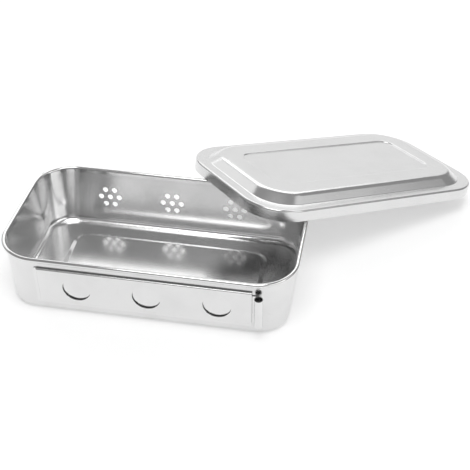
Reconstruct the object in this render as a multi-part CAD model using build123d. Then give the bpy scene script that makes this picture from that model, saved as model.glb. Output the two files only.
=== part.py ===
from build123d import *
import math
import os

# Lidded instrument box in pressed stainless sheet: a deep-drawn tray with a rolled rim and
# perforated long walls, a windowed vent cover welded on each long wall, a sliding shutter
# behind each cover, and a loose pressed lid that leans on the tray's corner.
# Millimetres. X runs along the tray, the front wall faces -Y, +Z is up.
# The origin is on the surface the tray stands on, under the middle of the tray.

# ---------------------------------------------------------------- tray
tray_length = 220.0              # over the rolled rim
tray_width = 124.0               # over the rolled rim
tray_height = 50.5               # to the crown of the rim
tray_sheet = 0.7
rim_corner_radius = 30.6         # in plan, outside of the rim
rim_bead_diameter = 3.3
rim_curl_angle = 290.0           # how far round the edge is rolled, from the wall's inner face
wall_draft = 2.9                 # how far each wall leans in from the rim down to the floor
floor_corner_radius = 22.0       # in plan, outside of the walls at the floor
floor_bend_radius = 5.5          # outside, between wall and floor

# raised panel pressed into the tray's floor
floor_panel_length = 150.6
floor_panel_width = 70.0
floor_panel_corner_radius = 9.3
floor_panel_slope = 3.6          # run of its sloped border
floor_panel_rise = 1.1
floor_panel_bend_radius = 2.2    # outside, along its two creases

# ---------------------------------------------------------------- vents in both long walls
vent_count = 3
vent_pitch = 51.5
vent_row_shift = 3.6             # of the row's middle, towards the shutter's pull
vent_height = 25.7               # of the vents' centres above the standing surface
perforation_diameter = 4.4
perforation_pitch = 7.43
perforations_in_ring = 6

# ---------------------------------------------------------------- vent cover, one per long wall
cover_sheet = 0.6
cover_length = 156.8
cover_shift = 1.7                # of its middle, towards the shutter's pull
window_diameter = 20.8
cover_bend_radius = 1.2          # outside, along its folds
weld_lip_height = 3.2            # of the lip below it
weld_lip_width = 2.5             # of the lip at its closed end
weld_lip_radius = 1.5            # of the lip's corners
cover_top_gap = 0.3              # between the edge of its top fold and the wall
cover_top_room = 2.65            # between the shutter's upper edge and its top fold

# ---------------------------------------------------------------- shutter, one per vent cover
shutter_sheet = 0.5
shutter_height = 26.0
shutter_drop = 0.15              # of its middle, below the middle of the vents
shutter_clearance = 0.25         # to the wall behind and the fold below
shutter_front_gap = 0.7          # to the cover in front
shutter_overlap = 2.0            # past the first window when closed
shutter_corner_radius = 2.0
shutter_travel = vent_pitch / 2.0
pull_diameter = 6.2              # outside of the curled finger pull
pull_curl_angle = 335.0
pull_gap = 1.9                   # between the cover's end and the pull when closed

# ---------------------------------------------------------------- lid
lid_sheet = 0.6
lid_clearance = 1.3              # all round, between the rim and the inside of the skirt
lid_skirt_height = 9.0
lid_edge_radius = 1.6            # outside, between skirt and brim
lid_brim = 9.0
lid_dome_corner_radius = 28.0    # in plan, at the foot of the dome
lid_dome_run = 7.0               # of its sloped side
lid_dome_rise = 6.5
lid_crown_corner_radius = 26.0   # in plan, at the top of the dome's side
lid_crown_radius = 7.0           # outside, between the dome's side and its top
lid_foot_radius = 1.2            # outside, between the brim and the dome's side
lid_panel_border = 17.2          # flat band between the dome's side and the sunk panel
lid_panel_corner_radius = 10.3
lid_panel_step = 0.8             # run of the panel's sloped border
lid_panel_depth = 0.9
lid_panel_bend_radius = 1.1      # outside, along its two creases

# ---------------------------------------------------------------- how the lid leans on the tray
lean_turn = 41.2                 # of the lid, seen from above, in degrees
lean_end_margin = 8.0            # along the lid's end, from its far corner's bend to the back rim
lean_side_margin = 4.5           # along its near side, from its near corner's bend to the end rim
lean_gap = 0.4                   # between lid and rim, and between lid and standing surface

crease_search = 0.05             # how near to its height a crease is looked for

# ---------------------------------------------------------------- derived
bead_radius = rim_bead_diameter / 2.0
bead_height = tray_height - bead_radius
neck_inset = rim_bead_diameter - tray_sheet
neck_corner_radius = rim_corner_radius - neck_inset
floor_inset = neck_inset + wall_draft
vent_places = [vent_row_shift + (i - (vent_count - 1) / 2.0) * vent_pitch for i in range(vent_count)]
shutter_bottom = -shutter_drop - shutter_height / 2.0
shutter_top = shutter_bottom + shutter_height
pocket_depth = shutter_clearance + shutter_sheet + shutter_front_gap
cover_depth = pocket_depth + cover_sheet
pocket_bottom = shutter_bottom - shutter_clearance
pocket_top = shutter_top + cover_top_room
cover_left = cover_shift - cover_length / 2.0
cover_right = cover_shift + cover_length / 2.0
pull_radius = pull_diameter / 2.0
pull_centre = cover_right + pull_gap + pull_radius
lid_length = tray_length + 2.0 * (lid_clearance + lid_sheet)
lid_width = tray_width + 2.0 * (lid_clearance + lid_sheet)
lid_corner_radius = rim_corner_radius + lid_clearance + lid_sheet


def outline(length, width, radius, height):
    """Rounded rectangle, as a face at the given height."""
    return Pos(0, 0, height) * RectangleRounded(length, width, radius)


def tray_outline(inset, radius, height):
    """Plan of the tray at a given inset from the outside of its rim."""
    return outline(tray_length - 2.0 * inset, tray_width - 2.0 * inset, radius, height)


def frustum(lower, upper):
    """Solid with straight sides between two outlines."""
    return loft([lower, upper], ruled=True)


def round_foot(body, radius):
    """Rounds the lowest edges of a body."""
    return fillet(body.edges().group_by(Axis.Z)[0], radius)


def round_crease(body, length, width, height, radius):
    """Rounds the edges that lie at a height, inside a rectangle about the middle."""
    close = crease_search
    level = body.edges().filter_by_position(Axis.Z, height - close, height + close)
    within = level.filter_by_position(Axis.X, -length / 2.0 - close, length / 2.0 + close)
    within = within.filter_by_position(Axis.Y, -width / 2.0 - close, width / 2.0 + close)
    return fillet(within, radius)


# ---------------------------------------------------------------- tray body
def tray_form(skin):
    """Full block with the shape of the tray's outside, shrunk by the given skin."""
    slope = wall_draft / bead_height
    foot_inset = floor_inset + skin - slope * skin
    foot_radius = max(floor_corner_radius - skin, floor_bend_radius)
    foot = tray_outline(foot_inset, foot_radius, skin)
    neck = tray_outline(neck_inset + skin, neck_corner_radius - skin, bead_height)
    return round_foot(frustum(foot, neck), floor_bend_radius - skin)


def floor_panel(base):
    """Low frustum of the panel pressed up into the floor, standing at the given height."""
    full_length = floor_panel_length + 2.0 * floor_panel_slope
    full_width = floor_panel_width + 2.0 * floor_panel_slope
    full_radius = floor_panel_corner_radius + floor_panel_slope
    lower = outline(full_length, full_width, full_radius, base)
    upper = outline(floor_panel_length, floor_panel_width, floor_panel_corner_radius, base + floor_panel_rise)
    return frustum(lower, upper)


def rolled_rim():
    """Edge of the sheet rolled outwards into a hollow bead, as the two halves of the rim."""
    end = tray_length / 2.0 - bead_radius
    side = tray_width / 2.0 - bead_radius
    corners = ((0, -side), (end, -side), (end, side), (0, side))
    path = Pos(0, 0, bead_height) * FilletPolyline(*corners, radius=rim_corner_radius - bead_radius)
    section_frame = Plane(origin=(0, -side, bead_height), x_dir=(0, -1, 0), z_dir=(-1, 0, 0))
    section = section_frame * curl_section(bead_radius, tray_sheet, rim_curl_angle)
    half = sweep(section.face(), path=path)
    return [half, Rot(0, 0, 180) * half]


def curl_section(radius, sheet, angle):
    """C-shaped section of a rolled edge; it starts on the left, where the flat sheet meets it."""
    middle = radius - sheet / 2.0
    arc = CenterArc((0, 0), middle, 180.0, -angle)
    return trace(arc, line_width=sheet)


def perforations():
    """Cutters for the round perforations: one hole and a ring round it at each vent."""
    cutters = []
    for side in (-1.0, 1.0):
        wall = Pos(0, side * (tray_width / 2.0 - floor_inset), vent_height)
        for place in vent_places:
            centre = wall * Pos(-side * place, 0, 0)
            spots = [(0.0, 0.0)]
            for i in range(perforations_in_ring):
                turn = math.radians(i * 360.0 / perforations_in_ring)
                spots.append((perforation_pitch * math.cos(turn), perforation_pitch * math.sin(turn)))
            for x, z in spots:
                drill = Cylinder(perforation_diameter / 2.0, 2.0 * floor_inset)
                cutters.append(centre * Pos(x, 0, z) * Rot(90, 0, 0) * drill)
    return cutters


def pressed_form(skin):
    """Tray form with the panel pressed up into its floor, its creases rounded."""
    full_length = floor_panel_length + 2.0 * floor_panel_slope
    full_width = floor_panel_width + 2.0 * floor_panel_slope
    foot_radius = floor_panel_bend_radius - skin
    crown_radius = floor_panel_bend_radius - tray_sheet + skin
    form = tray_form(skin) - floor_panel(skin)
    form = round_crease(form, full_length, full_width, skin, foot_radius)
    return round_crease(form, floor_panel_length, floor_panel_width, skin + floor_panel_rise, crown_radius)


def make_tray_body():
    """Deep-drawn tray: walls, floor with its raised panel, rolled rim and perforations."""
    body = pressed_form(0.0) - pressed_form(tray_sheet)
    body = body + rolled_rim()
    return body - perforations()


# ---------------------------------------------------------------- vent cover and shutter
def wall_frame():
    """Frame on the outside of the front wall at vent height: x along it, y up it, z out of it."""
    lean = math.atan2(wall_draft, bead_height)
    inset = floor_inset - wall_draft * vent_height / bead_height
    origin = (0, inset - tray_width / 2.0, vent_height)
    return Plane(origin=origin, x_dir=(1, 0, 0), z_dir=(0, -math.cos(lean), -math.sin(lean)))


def block(x, y, z):
    """Box between two x values, two y values and two z values, each given as a pair."""
    size = Box(x[1] - x[0], y[1] - y[0], z[1] - z[0])
    return Pos((x[0] + x[1]) / 2.0, (y[0] + y[1]) / 2.0, (z[0] + z[1]) / 2.0) * size


def folded(shell, radius):
    """Rounds the front edges of a block, except the one at the shutter's end."""
    front_edges = shell.edges().group_by(Axis.Z)[-1]
    return fillet(front_edges.sort_by(Axis.X)[:-1], radius)


def weld_lip():
    """Flat plate on the wall that leaves a lip below the cover and at its closed end."""
    left = cover_left - weld_lip_width
    bottom = pocket_bottom - cover_sheet - weld_lip_height
    plate = block((left, cover_right), (bottom, pocket_top + cover_sheet), (0.0, cover_sheet))
    closed_end = plate.edges().filter_by(Axis.Z).group_by(Axis.X)[0]
    return fillet(closed_end, weld_lip_radius)


def make_vent_cover():
    """Shallow sheet pocket with round windows, open at the shutter's end."""
    past = 2.0 * cover_sheet
    folded_top = pocket_top + cover_sheet
    length = (cover_left, cover_right)
    outside = block(length, (pocket_bottom - cover_sheet, folded_top), (0.0, cover_depth))
    pocket_length = (cover_left + cover_sheet, cover_right + past)
    pocket = block(pocket_length, (pocket_bottom, pocket_top), (-past, pocket_depth))
    gap_length = (cover_left - past, cover_right + past)
    top_gap = block(gap_length, (pocket_top, folded_top + past), (-past, cover_top_gap))
    shell = folded(outside, cover_bend_radius) + weld_lip()
    shell -= folded(pocket, cover_bend_radius - cover_sheet)
    shell -= top_gap
    for place in vent_places:
        shell -= Pos(place, 0, cover_depth) * Cylinder(window_diameter / 2.0, 2.0 * cover_sheet)
    return shell


def make_shutter(slid):
    """Strip with round holes, curled at its end into a finger pull, slid open by a distance."""
    first_window = vent_places[0] - window_diameter / 2.0
    left = first_window - shutter_overlap
    back = shutter_clearance
    strip = block((left, pull_centre), (shutter_bottom, shutter_top), (back, back + shutter_sheet))
    free_corners = strip.edges().filter_by(Axis.Z).group_by(Axis.X)[0]
    strip = fillet(free_corners, shutter_corner_radius)
    for place in vent_places[1:]:
        hole = Cylinder(window_diameter / 2.0, 4.0 * shutter_sheet)
        strip -= Pos(place - shutter_travel, 0, back) * hole
    middle = pull_radius - shutter_sheet / 2.0
    ring = trace(CenterArc((0, 0), middle, -90.0, pull_curl_angle), line_width=shutter_sheet)
    ring_origin = (pull_centre, shutter_top, back + pull_radius)
    ring_frame = Plane(origin=ring_origin, x_dir=(1, 0, 0), z_dir=(0, -1, 0))
    pull = extrude(ring_frame * ring, shutter_height)
    return Pos(slid, 0, 0) * (strip + pull)


# ---------------------------------------------------------------- lid
def lid_form(skin):
    """Full block with the shape of the lid's outside, shrunk by the given skin."""
    length = lid_length - 2.0 * skin
    width = lid_width - 2.0 * skin
    brim_height = lid_skirt_height - skin
    plate = extrude(RectangleRounded(length, width, lid_corner_radius - skin), brim_height)
    plate = fillet(plate.edges().group_by(Axis.Z)[-1], lid_edge_radius - skin)
    foot_inset = 2.0 * lid_brim
    crown_inset = foot_inset + 2.0 * lid_dome_run
    foot = outline(length - foot_inset, width - foot_inset, lid_dome_corner_radius, brim_height)
    crown_height = brim_height + lid_dome_rise
    crown = outline(length - crown_inset, width - crown_inset, lid_crown_corner_radius, crown_height)
    dome = frustum(foot, crown)
    dome = fillet(dome.edges().group_by(Axis.Z)[-1], lid_crown_radius - skin)
    form = plate + dome
    form = round_crease(form, length - foot_inset, width - foot_inset, brim_height, lid_foot_radius + skin)
    return sunk_form(form, skin)


def sunk_form(form, skin):
    """Sinks the panel into the lid's top and rounds its two creases."""
    inset = 2.0 * (lid_brim + lid_dome_run + lid_panel_border)
    top = lid_skirt_height + lid_dome_rise - skin
    bottom = top - lid_panel_depth
    shift = skin * math.tan(math.atan2(lid_panel_depth, lid_panel_step) / 2.0)
    length = lid_length - inset + 2.0 * shift
    width = lid_width - inset + 2.0 * shift
    upper = outline(length, width, lid_panel_corner_radius + shift, top)
    step = 2.0 * lid_panel_step
    lower_radius = lid_panel_corner_radius + shift - lid_panel_step
    lower = outline(length - step, width - step, lower_radius, bottom)
    form = form - frustum(lower, upper)
    form = round_crease(form, length, width, top, lid_panel_bend_radius - skin)
    lower_bend = lid_panel_bend_radius - lid_sheet + skin
    return round_crease(form, length - step, width - step, bottom, lower_bend)


def lean_plane():
    """Frame of the leaning lid: origin under its middle, z out of its top.

    The inner lower edge of the skirt crosses the back rim and the end rim at one height, so the
    lid tips about the line through both crossings until its far corner reaches the surface.
    """
    half_length = lid_length / 2.0
    half_width = lid_width / 2.0
    end_margin = lid_corner_radius + lean_end_margin
    side_margin = lid_corner_radius + lean_side_margin
    on_end = Vector(lid_sheet - half_length, half_width - end_margin, 0)
    on_side = Vector(side_margin - half_length, lid_sheet - half_width, 0)
    turned_end = on_end.rotate(Axis.Z, lean_turn)
    turned_side = on_side.rotate(Axis.Z, lean_turn)
    across = turned_side - turned_end
    end_rim = tray_length / 2.0 - bead_radius
    back_rim = tray_width / 2.0 - bead_radius
    pivot = Vector(end_rim - across.X, back_rim, tray_height + lean_gap)
    hinge = across.normalized()
    downhill = Vector(0, 0, 1).cross(hinge)
    reach = lowest_reach(downhill.rotate(Axis.Z, -lean_turn)) - turned_end.dot(downhill)
    tip = math.degrees(math.asin(tray_height / reach))
    lid_x = Vector(1, 0, 0).rotate(Axis.Z, lean_turn)
    tipped_x = lid_x.rotate(Axis(origin=(0, 0, 0), direction=hinge), -tip)
    tipped_z = Vector(0, 0, 1).rotate(Axis(origin=(0, 0, 0), direction=hinge), -tip)
    tipped_end = turned_end.rotate(Axis(origin=(0, 0, 0), direction=hinge), -tip)
    return Plane(origin=pivot - tipped_end, x_dir=tipped_x, z_dir=tipped_z)


def lowest_reach(direction):
    """How far the skirt's outline reaches from its middle in a direction in its own plane."""
    along = (lid_length / 2.0 - lid_corner_radius) * abs(direction.X)
    across = (lid_width / 2.0 - lid_corner_radius) * abs(direction.Y)
    return along + across + lid_corner_radius


def make_lid():
    """Pressed lid in its leaning place: skirt, flat brim, raised dome and sunk panel."""
    return lean_plane() * (lid_form(0.0) - lid_form(lid_sheet))


# ---------------------------------------------------------------- output
def make_nodes():
    """All pieces by name, each in its place."""
    front = wall_frame()
    turned = Rot(0, 0, 180)
    return {
        "tray_body": make_tray_body(),
        "front_vent_cover": front * make_vent_cover(),
        "front_shutter": front * make_shutter(0.0),
        "back_vent_cover": turned * (front * make_vent_cover()),
        "back_shutter": turned * (front * make_shutter(shutter_travel)),
        "lid": make_lid(),
    }


def write_nodes():
    """Writes one STEP file per piece."""
    os.makedirs("parts", exist_ok=True)
    for name, shape in make_nodes().items():
        export_step(shape, "parts/" + name + ".step")


write_nodes()
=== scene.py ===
"""Finishes, small details, light and camera for a lidded instrument box in stainless sheet.

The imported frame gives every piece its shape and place. This script gives each sheet-metal
piece its finish, with the marks that pressing, welding and handling leave, and sets up a
plain studio. Lengths are in metres.
"""

from __future__ import annotations

import logging
from dataclasses import dataclass, field
from math import pi, radians
from typing import Any, Mapping, Sequence

import bmesh
import bpy
from mathutils import Euler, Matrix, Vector

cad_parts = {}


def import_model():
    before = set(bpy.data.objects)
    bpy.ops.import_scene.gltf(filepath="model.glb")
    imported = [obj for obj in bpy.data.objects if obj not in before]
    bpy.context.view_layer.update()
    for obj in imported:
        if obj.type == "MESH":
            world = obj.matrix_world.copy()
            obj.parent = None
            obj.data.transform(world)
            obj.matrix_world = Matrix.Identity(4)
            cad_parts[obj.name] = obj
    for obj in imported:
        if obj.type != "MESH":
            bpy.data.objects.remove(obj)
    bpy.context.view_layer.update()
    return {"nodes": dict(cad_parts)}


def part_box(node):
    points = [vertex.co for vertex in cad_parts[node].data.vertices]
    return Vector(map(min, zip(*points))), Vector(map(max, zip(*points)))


LOG = logging.getLogger("instrument_box")

Colour = tuple[float, float, float]
Triple = tuple[float, float, float]

ORIGIN = (0.0, 0.0, 0.0)
UNTURNED = (0.0, 0.0, 0.0)


# ---------------------------------------------------------------- shader arithmetic
class Channel:
    """One number of a shader: a socket whose arithmetic adds Math nodes."""

    def __init__(self, graph: "Graph", socket: bpy.types.NodeSocket) -> None:
        """Wraps a socket.

        Args:
            graph: The graph that new nodes are added to.
            socket: The output socket that carries the number.
        """
        self.graph = graph
        self.socket = socket

    def _math(self, operation: str, *terms: "Channel | float") -> "Channel":
        """Adds one Math node.

        Args:
            operation: Blender's name of what the node does.
            terms: Its numbers, in order.

        Returns:
            What the node gives.
        """
        inputs = dict(enumerate(terms))
        node = self.graph.node("ShaderNodeMath", {"operation": operation}, inputs)
        return Channel(self.graph, node.outputs[0])

    def __add__(self, other: "Channel | float") -> "Channel":
        """Sum."""
        return self._math("ADD", self, other)

    __radd__ = __add__

    def __sub__(self, other: "Channel | float") -> "Channel":
        """Difference."""
        return self._math("SUBTRACT", self, other)

    def __rsub__(self, other: "Channel | float") -> "Channel":
        """Difference from a plain number."""
        return self._math("SUBTRACT", other, self)

    def __mul__(self, other: "Channel | float") -> "Channel":
        """Product."""
        return self._math("MULTIPLY", self, other)

    __rmul__ = __mul__

    def __pow__(self, power: float) -> "Channel":
        """Power."""
        return self._math("POWER", self, power)

    def __abs__(self) -> "Channel":
        """Size without its sign."""
        return self._math("ABSOLUTE", self)

    def fraction(self) -> "Channel":
        """What is left after the whole part."""
        return self._math("FRACT", self)

    def most(self, other: "Channel | float") -> "Channel":
        """Larger of the two."""
        return self._math("MAXIMUM", self, other)

    def ramp(self, low: float, high: float, start: float = 0.0, end: float = 1.0) -> "Channel":
        """Smooth change from one value to another as this number goes from low to high.

        Args:
            low: Number at which the change starts.
            high: Number at which it ends.
            start: Value up to low.
            end: Value from high on.

        Returns:
            The changed number.
        """
        settings = {"interpolation_type": "SMOOTHSTEP"}
        limits = {"From Min": low, "From Max": high, "To Min": start, "To Max": end}
        node = self.graph.node("ShaderNodeMapRange", settings, {"Value": self, **limits})
        return Channel(self.graph, node.outputs["Result"])


class Graph:
    """Shader nodes of one material."""

    def __init__(self, title: str) -> None:
        """Makes an empty material.

        Args:
            title: Name of the material.
        """
        self.material = bpy.data.materials.new(title)
        self.material.use_nodes = True
        self.tree = self.material.node_tree
        self.tree.nodes.clear()

    def node(self, kind: str, settings: Mapping[str, Any], inputs: Mapping[Any, Any]) -> bpy.types.Node:
        """Adds one node.

        Args:
            kind: Blender's name of the node type.
            settings: The node's own settings, which are set first.
            inputs: Values or links of its sockets, by name or number.

        Returns:
            The new node.
        """
        node = self.tree.nodes.new(kind)
        for name, value in settings.items():
            setattr(node, name, value)
        for name, value in inputs.items():
            socket = node.inputs[name]
            source = value.socket if isinstance(value, Channel) else value
            if isinstance(source, bpy.types.NodeSocket):
                self.tree.links.new(source, socket)
            else:
                socket.default_value = source
        return node

    def finished(self, inputs: Mapping[str, Any]) -> bpy.types.Material:
        """Ends the material with its shader.

        Args:
            inputs: Values or links of the shader's sockets, by name.

        Returns:
            The material.
        """
        shader = self.node("ShaderNodeBsdfPrincipled", {}, inputs)
        self.node("ShaderNodeOutputMaterial", {}, {"Surface": shader.outputs[0]})
        return self.material

    def place(self) -> bpy.types.NodeSocket:
        """Place on the piece, in metres."""
        return self.node("ShaderNodeTexCoord", {}, {}).outputs["Object"]

    def axes(self, place: bpy.types.NodeSocket) -> tuple[Channel, Channel, Channel]:
        """The three numbers of a place."""
        parts = self.node("ShaderNodeSeparateXYZ", {}, {"Vector": place})
        return tuple(Channel(self, part) for part in parts.outputs)

    def turned(self, place: bpy.types.NodeSocket, middle: Triple, turn: Triple) -> bpy.types.NodeSocket:
        """Place measured in a piece's own leaning axes.

        Args:
            place: Place in the frame's axes.
            middle: Where the piece's own middle lies.
            turn: The piece's own axes as Euler angles, in radians.

        Returns:
            The place in the piece's axes.
        """
        settings = {"vector_type": "TEXTURE"}
        inputs = {"Vector": place, "Location": middle, "Rotation": turn}
        return self.node("ShaderNodeMapping", settings, inputs).outputs[0]

    def stretched(self, place: bpy.types.NodeSocket, scale: Triple) -> bpy.types.NodeSocket:
        """Place multiplied axis by axis."""
        inputs = {0: place, 1: scale}
        return self.node("ShaderNodeVectorMath", {"operation": "MULTIPLY"}, inputs).outputs[0]

    def noise(
        self, place: bpy.types.NodeSocket, scale: float, detail: float, roughness: float = 0.5
    ) -> Channel:
        """Smooth noise from 0 to 1.

        Args:
            place: Where it is read.
            scale: Features in a metre.
            detail: How many finer layers it has.
            roughness: How strong the finer layers are.

        Returns:
            The noise.
        """
        inputs = {"Vector": place, "Scale": scale, "Detail": detail, "Roughness": roughness}
        node = self.node("ShaderNodeTexNoise", {"noise_dimensions": "3D"}, inputs)
        return Channel(self, node.outputs["Fac"])

    def blend(self, factor: Channel, first: Colour, second: Colour) -> bpy.types.NodeSocket:
        """Colour between two others.

        Args:
            factor: 0 for the first colour and 1 for the second.
            first: One colour.
            second: The other colour.

        Returns:
            The mixed colour.
        """
        settings = {"data_type": "RGBA", "clamp_factor": True}
        inputs = {0: factor, 6: (*first, 1.0), 7: (*second, 1.0)}
        return self.node("ShaderNodeMix", settings, inputs).outputs[2]


# ---------------------------------------------------------------- finishes
@dataclass(frozen=True)
class SteelFinish:
    """Stainless sheet, from satin to polished, with the marks of pressing and handling."""

    title: str
    tone: Colour
    worn_tone: Colour
    roughness: float
    grain_pitch: float = 0.0004
    grain_stretch: float = 45.0
    grain_depth: float = 0.0000011
    grain_haze: float = 0.06
    ripple_pitch: float = 0.045
    ripple_depth: float = 0.00004
    haze_pitch: float = 0.03
    haze: float = 0.05
    scratch_pitch: float = 0.0011
    scratch_length: float = 0.03
    scratch_depth: float = 0.0000008
    scratch_angles: tuple[float, ...] = (25.0, -50.0)
    scratch_from: float = 0.7
    scratch_full: float = 0.76
    scratch_dulling: float = 0.06
    smear_pitch: float = 0.016
    smear_upright: float = 0.35
    smear_from: float = 0.55
    smear_full: float = 0.8
    smear: float = 0.05
    wear_from: float = 0.4
    wear_full: float = 0.75
    wear_by_haze: float = 0.6
    wear_by_scratch: float = 0.5
    polish_shine: float = 0.45
    middle: Triple = ORIGIN
    turn: Triple = UNTURNED

    def grain_scale(self) -> Triple:
        """Features in a metre along each axis, drawn out along X."""
        across = 1.0 / self.grain_pitch
        return across / self.grain_stretch, across, across

    def scratches(self, graph: Graph, place: bpy.types.NodeSocket) -> Channel:
        """Sparse hairline scratches that run two ways across the sheet.

        Args:
            graph: The material's graph.
            place: Place in the piece's axes.

        Returns:
            1 on a scratch and 0 off it.
        """
        across = 1.0 / self.scratch_pitch
        along = 1.0 / self.scratch_length
        marks = []
        for angle in self.scratch_angles:
            tilted = graph.turned(place, ORIGIN, (radians(angle),) * 3)
            streaks = graph.noise(graph.stretched(tilted, (along, across, across)), 1.0, 1.0)
            marks.append(streaks.ramp(self.scratch_from, self.scratch_full))
        return marks[0].most(marks[1])

    def smears(self, graph: Graph, place: bpy.types.NodeSocket) -> Channel:
        """Soft patches that handling and wiping leave.

        Args:
            graph: The material's graph.
            place: Place in the piece's axes.

        Returns:
            1 in a patch and 0 outside it.
        """
        drawn_out = graph.stretched(place, (1.0, 1.0, self.smear_upright))
        patches = graph.noise(drawn_out, 1.0 / self.smear_pitch, 4.0, 0.6)
        return patches.ramp(self.smear_from, self.smear_full)

    def polish(self, graph: Graph, place: bpy.types.NodeSocket) -> Channel | float:
        """How far the sheet is polished, from 0 to 1, at each place."""
        return 0.0

    def relief(self, graph: Graph, place: bpy.types.NodeSocket) -> Channel | float:
        """Extra height of the surface, in metres, from the way it was pressed."""
        return 0.0

    def material(self) -> bpy.types.Material:
        """Builds the shader.

        Returns:
            The material.
        """
        graph = Graph(self.title)
        place = graph.turned(graph.place(), self.middle, self.turn)
        lines = graph.noise(graph.stretched(place, self.grain_scale()), 1.0, 3.0, 0.6)
        haze = graph.noise(place, 1.0 / self.haze_pitch, 3.0, 0.55)
        ripple = graph.noise(place, 1.0 / self.ripple_pitch, 1.0, 0.4)
        smears = self.smears(graph, place)
        scratches = self.scratches(graph, place)
        dull = self.haze * (haze - 0.5) + self.grain_haze * (lines - 0.5)
        dull = dull + self.smear * smears + self.scratch_dulling * scratches
        rough = (self.roughness + dull) * (1.0 - self.polish_shine * self.polish(graph, place))
        worn = haze.ramp(self.wear_from, self.wear_full) * self.wear_by_haze
        worn = worn + scratches * self.wear_by_scratch
        colour = graph.blend(worn, self.tone, self.worn_tone)
        height = lines * self.grain_depth + ripple * self.ripple_depth - scratches * self.scratch_depth
        height = height + self.relief(graph, place)
        bump = graph.node("ShaderNodeBump", {}, {"Strength": 1.0, "Distance": 1.0, "Height": height})
        inputs = {"Base Color": colour, "Roughness": rough, "Metallic": 1.0, "Normal": bump.outputs[0]}
        return graph.finished(inputs)


@dataclass(frozen=True)
class DrawnFinish(SteelFinish):
    """Satin of a deep-drawn shell, with upright streaks in its corners and a bright rim."""

    rim_height: float = 0.0
    rim_blend: float = 0.0012
    corner_start: Triple = (0.0, 0.0, 0.0)
    corner_blend: float = 0.012
    streak_pitch: float = 0.006
    streak_stretch: float = 20.0
    streak_depth: float = 0.00008

    def polish(self, graph: Graph, place: bpy.types.NodeSocket) -> Channel:
        """1 on the rolled rim and 0 below it."""
        height = graph.axes(place)[2]
        return height.ramp(self.rim_height - self.rim_blend, self.rim_height)

    def relief(self, graph: Graph, place: bpy.types.NodeSocket) -> Channel:
        """Upright streaks where the sheet was drawn round the corners.

        Args:
            graph: The material's graph.
            place: Place in the piece's axes.

        Returns:
            Height of the streaks, in metres.
        """
        x, y, z = graph.axes(place)
        x_start, y_start, z_start = self.corner_start
        past_end = abs(x).ramp(x_start, x_start + self.corner_blend)
        past_side = abs(y).ramp(y_start, y_start + self.corner_blend)
        wall = z.ramp(z_start, z_start + self.corner_blend)
        scale = 1.0 / self.streak_pitch
        drawn_out = graph.stretched(place, (scale, scale, scale / self.streak_stretch))
        streaks = graph.noise(drawn_out, 1.0, 2.0)
        return streaks * (past_end * past_side) * wall * self.streak_depth


@dataclass(frozen=True)
class WeldedFinish(SteelFinish):
    """Polished sheet with a row of faint spot-weld marks along its lower lip."""

    weld_height: float = 0.0
    weld_pitch: float = 0.0
    weld_shift: float = 0.0
    weld_radius: float = 0.0011
    weld_depth: float = 0.00012

    def relief(self, graph: Graph, place: bpy.types.NodeSocket) -> Channel:
        """A shallow dimple at each weld.

        Args:
            graph: The material's graph.
            place: Place in the piece's axes.

        Returns:
            Height of the surface, lowest at the middle of each weld, in metres.
        """
        x, _, z = graph.axes(place)
        turns = (x - self.weld_shift) * (1.0 / self.weld_pitch) + 0.5
        beside = abs(turns.fraction() - 0.5) * self.weld_pitch
        above = abs(z - self.weld_height)
        distance = (beside * beside + above * above) ** 0.5
        return distance.ramp(self.weld_radius * 0.5, self.weld_radius) * self.weld_depth


@dataclass(frozen=True)
class FloorFinish:
    """Matt pale surface that the box stands on."""

    title: str = "pale_floor"
    tone: Colour = (0.94, 0.94, 0.94)
    glow: float = 0.3
    roughness: float = 0.8
    gloss: float = 0.1

    def material(self) -> bpy.types.Material:
        """Builds the shader.

        Returns:
            The material.
        """
        graph = Graph(self.title)
        inputs = {
            "Base Color": (*self.tone, 1.0),
            "Roughness": self.roughness,
            "Specular IOR Level": self.gloss,
            "Emission Color": (1.0, 1.0, 1.0, 1.0),
            "Emission Strength": self.glow,
        }
        return graph.finished(inputs)


def wear(node: bpy.types.Object, finish: bpy.types.Material) -> None:
    """Puts a finish on every material slot of a piece.

    Args:
        node: The piece.
        finish: The material it gets.
    """
    for slot in node.material_slots:
        slot.material = finish


# ---------------------------------------------------------------- pieces
@dataclass
class Tray:
    """Deep-drawn tray with the rolled rim."""

    node: str = "tray_body"
    rim_thickness: float = 0.0033
    corner_reach: float = 0.032
    floor_reach: float = 0.008

    def dress(self, nodes: Mapping[str, bpy.types.Object]) -> None:
        """Gives the tray its finish.

        Args:
            nodes: The frame's pieces by name.
        """
        low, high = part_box(self.node)
        start = (high[0] - self.corner_reach, high[1] - self.corner_reach, low[2] + self.floor_reach)
        finish = DrawnFinish(
            "tray_satin",
            (0.72, 0.72, 0.72),
            (0.65, 0.65, 0.65),
            0.19,
            rim_height=high[2] - self.rim_thickness,
            corner_start=start,
        )
        wear(nodes[self.node], finish.material())
        LOG.info("%s dressed", self.node)


@dataclass
class VentCover:
    """Windowed pocket on a long wall."""

    node: str
    weld_pitch: float = 0.0257
    lip_middle: float = 0.0017

    def dress(self, nodes: Mapping[str, bpy.types.Object]) -> None:
        """Gives the cover its finish.

        Args:
            nodes: The frame's pieces by name.
        """
        low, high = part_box(self.node)
        finish = WeldedFinish(
            self.node + "_steel",
            (0.75, 0.75, 0.75),
            (0.69, 0.69, 0.69),
            0.17,
            weld_height=low[2] + self.lip_middle,
            weld_pitch=self.weld_pitch,
            weld_shift=(low[0] + high[0]) / 2.0,
        )
        wear(nodes[self.node], finish.material())
        LOG.info("%s dressed", self.node)


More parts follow.
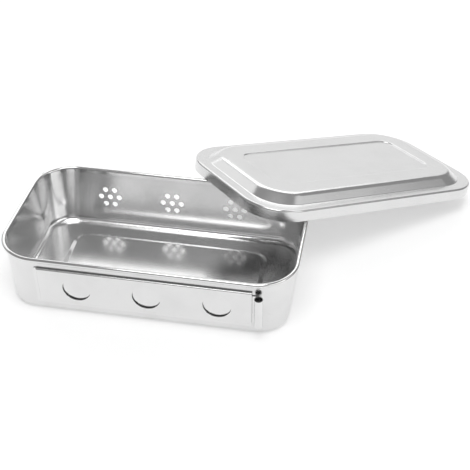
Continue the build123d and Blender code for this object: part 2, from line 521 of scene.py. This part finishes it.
@dataclass
class Shutter:
    """Sliding shutter with its curled pull."""

    node: str

    def dress(self, nodes: Mapping[str, bpy.types.Object]) -> None:
        """Gives the shutter its finish.

        Args:
            nodes: The frame's pieces by name.
        """
        finish = SteelFinish(self.node + "_steel", (0.76, 0.76, 0.76), (0.7, 0.7, 0.7), 0.15)
        wear(nodes[self.node], finish.material())
        LOG.info("%s dressed", self.node)


@dataclass
class Lid:
    """Pressed lid that leans on the tray."""

    node: str = "lid"
    middle: Triple = (0.1218, 0.1136, 0.0285)
    turn: Triple = (radians(-5.44), radians(12.66), radians(40.6))

    def dress(self, nodes: Mapping[str, bpy.types.Object]) -> None:
        """Gives the lid its finish.

        Args:
            nodes: The frame's pieces by name.
        """
        finish = SteelFinish(
            "lid_satin",
            (0.7, 0.7, 0.7),
            (0.65, 0.65, 0.65),
            0.21,
            ripple_depth=0.00002,
            middle=self.middle,
            turn=self.turn,
        )
        wear(nodes[self.node], finish.material())
        LOG.info("%s dressed", self.node)


# ---------------------------------------------------------------- studio
@dataclass(frozen=True)
class Softbox:
    """Soft rectangular light."""

    title: str
    place: Triple
    aim: Triple
    width: float
    height: float
    radiance: float

    def build(self) -> None:
        """Adds the light to the scene."""
        data = bpy.data.lights.new(self.title, "AREA")
        data.shape = "RECTANGLE"
        data.size = self.width
        data.size_y = self.height
        data.energy = self.radiance * pi * self.width * self.height
        lamp = bpy.data.objects.new(self.title, data)
        lamp.location = self.place
        lamp.rotation_euler = (Vector(self.aim) - Vector(self.place)).to_track_quat("-Z", "Y").to_euler()
        bpy.context.scene.collection.objects.link(lamp)


@dataclass
class Studio:
    """Pale floor, soft lights and camera."""

    floor_size: float = 12.0
    backdrop: float = 0.33
    lens: float = 76.83
    sensor: float = 36.0
    nearest: float = 0.01
    camera_place: Triple = (0.15677, -0.58567, 0.49383)
    camera_turn: Triple = (52.905, -0.309, 9.837)
    lights: Sequence[Softbox] = field(default_factory=lambda: STUDIO_LIGHTS)

    def build(self) -> None:
        """Adds everything to the scene."""
        self.build_floor()
        self.build_backdrop()
        for light in self.lights:
            light.build()
        self.build_camera()

    def build_floor(self) -> None:
        """Adds the pale floor."""
        mesh = bpy.data.meshes.new("floor")
        shape = bmesh.new()
        bmesh.ops.create_grid(shape, x_segments=4, y_segments=4, size=self.floor_size / 2.0)
        shape.to_mesh(mesh)
        shape.free()
        mesh.materials.append(FloorFinish().material())
        floor = bpy.data.objects.new("floor", mesh)
        bpy.context.scene.collection.objects.link(floor)

    def build_backdrop(self) -> None:
        """Sets the even light that comes from all round."""
        world = bpy.data.worlds.new("studio")
        world.use_nodes = True
        world.node_tree.nodes["Background"].inputs["Color"].default_value = (1.0, 1.0, 1.0, 1.0)
        world.node_tree.nodes["Background"].inputs["Strength"].default_value = self.backdrop
        bpy.context.scene.world = world
        bpy.context.scene.view_settings.view_transform = "Standard"

    def build_camera(self) -> None:
        """Adds the camera."""
        data = bpy.data.cameras.new("camera")
        data.lens = self.lens
        data.sensor_width = self.sensor
        data.clip_start = self.nearest
        camera = bpy.data.objects.new("camera", data)
        camera.location = self.camera_place
        camera.rotation_euler = Euler([radians(angle) for angle in self.camera_turn])
        bpy.context.scene.collection.objects.link(camera)
        bpy.context.scene.camera = camera


STUDIO_LIGHTS = (
    Softbox("back_low", (-0.4, 2.0, 0.36), (0.05, 0.05, 0.1), 2.8, 0.75, 0.64),
    Softbox("back", (-0.3, 1.8, 0.92), (0.05, 0.05, 0.1), 2.4, 0.42, 0.92),
    Softbox("back_top", (-0.1, 1.45, 1.25), (0.05, 0.05, 0.0), 1.6, 0.8, 1.5),
    Softbox("overhead", (0.05, -0.45, 1.5), (0.05, 0.0, 0.0), 0.9, 0.9, 3.3),
    Softbox("right_front", (1.35, -0.75, 0.9), (0.05, 0.0, 0.0), 1.3, 0.8, 1.3),
    Softbox("right", (1.45, 0.1, 1.25), (0.05, 0.0, 0.0), 1.2, 0.9, 0.55),
    Softbox("left_back", (-1.45, 0.98, 1.15), (0.0, 0.0, 0.0), 1.1, 0.8, 0.8),
)


def main() -> None:
    """Imports the frame, dresses every sub-assembly in order, then builds the studio."""
    logging.basicConfig(level=logging.INFO, format="%(name)s: %(message)s")
    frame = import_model()
    nodes = frame["nodes"]
    Tray().dress(nodes)
    for side in ("front", "back"):
        VentCover(side + "_vent_cover").dress(nodes)
        Shutter(side + "_shutter").dress(nodes)
    Lid().dress(nodes)
    Studio().build()


if __name__ == "__main__":
    main()
